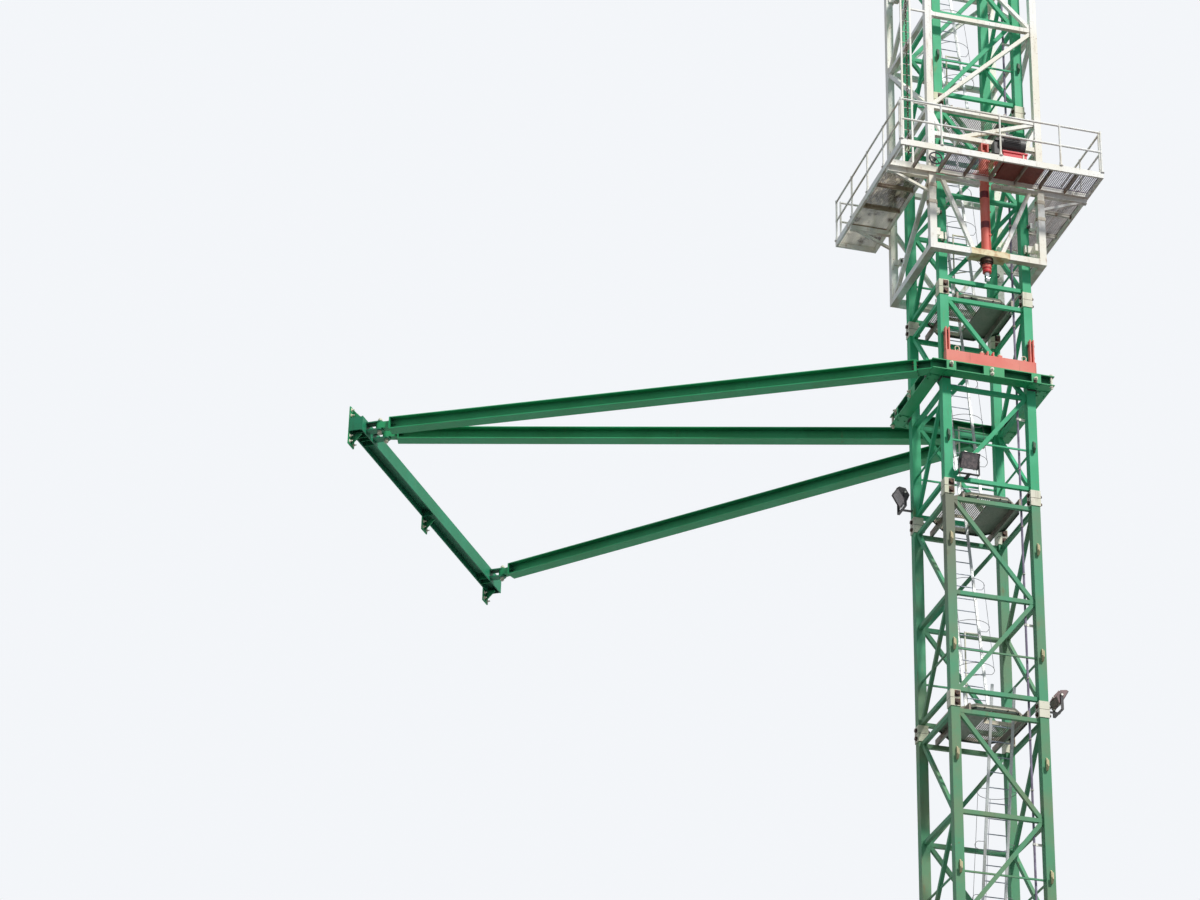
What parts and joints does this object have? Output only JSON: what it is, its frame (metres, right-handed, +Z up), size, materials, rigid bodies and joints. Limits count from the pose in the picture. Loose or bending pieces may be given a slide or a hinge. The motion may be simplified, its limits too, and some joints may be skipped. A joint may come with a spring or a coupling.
{
  "type": "tower crane mast with climbing cage and wall tie",
  "caption": "Lattice tower crane mast stretch with a climbing cage, ram and yoke, and a tie collar held to a wall beam by struts.",
  "frame": {"origin": "middle of the lower face of the front left leg's foot coupling", "axes": "+Z up the mast, +X along the front side of the mast to the front right leg, +Y from front to back"},
  "size_m": [15.5591, 14.849, 25],
  "materials": {
    "mast_green": "weathered green paint",
    "coupling_paint": "pale paint, worn at the bolts",
    "ladder_zinc": "galvanised",
    "platform_steel": "galvanised, stained",
    "cable_sheath": "matt sheath",
    "bracket_zinc": "galvanised",
    "lamp_black": "black paint",
    "tie_green": "newer green paint",
    "pad_steel": "dark steel",
    "pin_white": "pale paint",
    "yoke_red": "faded red paint",
    "cage_white": "off-white paint with rust runs",
    "roller_steel": "greased steel",
    "deck_grating": "galvanised, rusty",
    "rod_chrome": "polished",
    "pack_red": "bright red paint"
  },
  "bodies": {
    "mast": {"mast_front_1": "mast_green", "mast_back_1": "mast_green", "mast_front_2": "mast_green", "mast_back_2": "mast_green", "mast_front_3": "mast_green", "mast_back_3": "mast_green", "mast_front_4": "mast_green", "mast_back_4": "mast_green", "mast_front_5": "mast_green", "mast_back_5": "mast_green", "mast_left_bracing": "mast_green", "mast_right_bracing": "mast_green", "leg_couplings": "coupling_paint", "climbing_lugs": "mast_green", "ladders": "ladder_zinc", "rest_platforms": "platform_steel", "power_cable": "cable_sheath", "cable_clips": "bracket_zinc", "floodlight_brackets": "lamp_black", "collar_front": "tie_green", "collar_left": "tie_green", "collar_back": "tie_green", "collar_right": "tie_green", "collar_pads": "pad_steel", "strut_far": "tie_green", "strut_middle": "tie_green", "strut_near": "tie_green", "strut_pins": "pin_white", "wall_beam": "tie_green", "wall_anchors": "tie_green"},
    "cage": {"cage_front": "cage_white", "cage_back": "cage_white", "cage_sides": "cage_white", "cage_pawls": "cage_white", "roller_brackets": "cage_white", "guide_rollers": "roller_steel", "deck_front": "cage_white", "deck_left": "cage_white", "deck_right": "cage_white", "deck_floors": "deck_grating", "deck_railings": "cage_white", "cage_ladder": "cage_white", "ram_hanger": "yoke_red", "ram_barrel": "yoke_red", "power_pack": "pack_red"},
    "ram_rod": {"ram_rod": "rod_chrome"},
    "yoke": {"climbing_yoke": "yoke_red"},
    "floodlight_front": {"floodlight_front": "lamp_black"},
    "floodlight_left": {"floodlight_left": "lamp_black"},
    "floodlight_right": {"floodlight_right": "lamp_black"}
  },
  "joints": [
    {"name": "cage_climb", "type": "slide", "parent": "mast", "child": "cage", "axis": [0, 0, 1], "range_m": [0, 2.2]},
    {"name": "ram_extend", "type": "slide", "parent": "cage", "child": "ram_rod", "axis": [0, 0, -1], "range_m": [0, 1.6]},
    {"name": "yoke_lift", "type": "slide", "parent": "mast", "child": "yoke", "axis": [0, 0, 1], "range_m": [0, 0.3]},
    {"name": "floodlight_front_tilt", "type": "hinge", "parent": "mast", "child": "floodlight_front", "pos_m": [0.39, -0.283, 10.575], "axis": [1, 0, 0], "range_deg": [-30, 30]},
    {"name": "floodlight_left_tilt", "type": "hinge", "parent": "mast", "child": "floodlight_left", "pos_m": [-0.34, 1.98, 10.7], "axis": [0, -1, 0], "range_deg": [-30, 30]},
    {"name": "floodlight_right_tilt", "type": "hinge", "parent": "mast", "child": "floodlight_right", "pos_m": [2.335, 0, 5.33], "axis": [0, 1, 0], "range_deg": [-30, 30]}
  ]
}
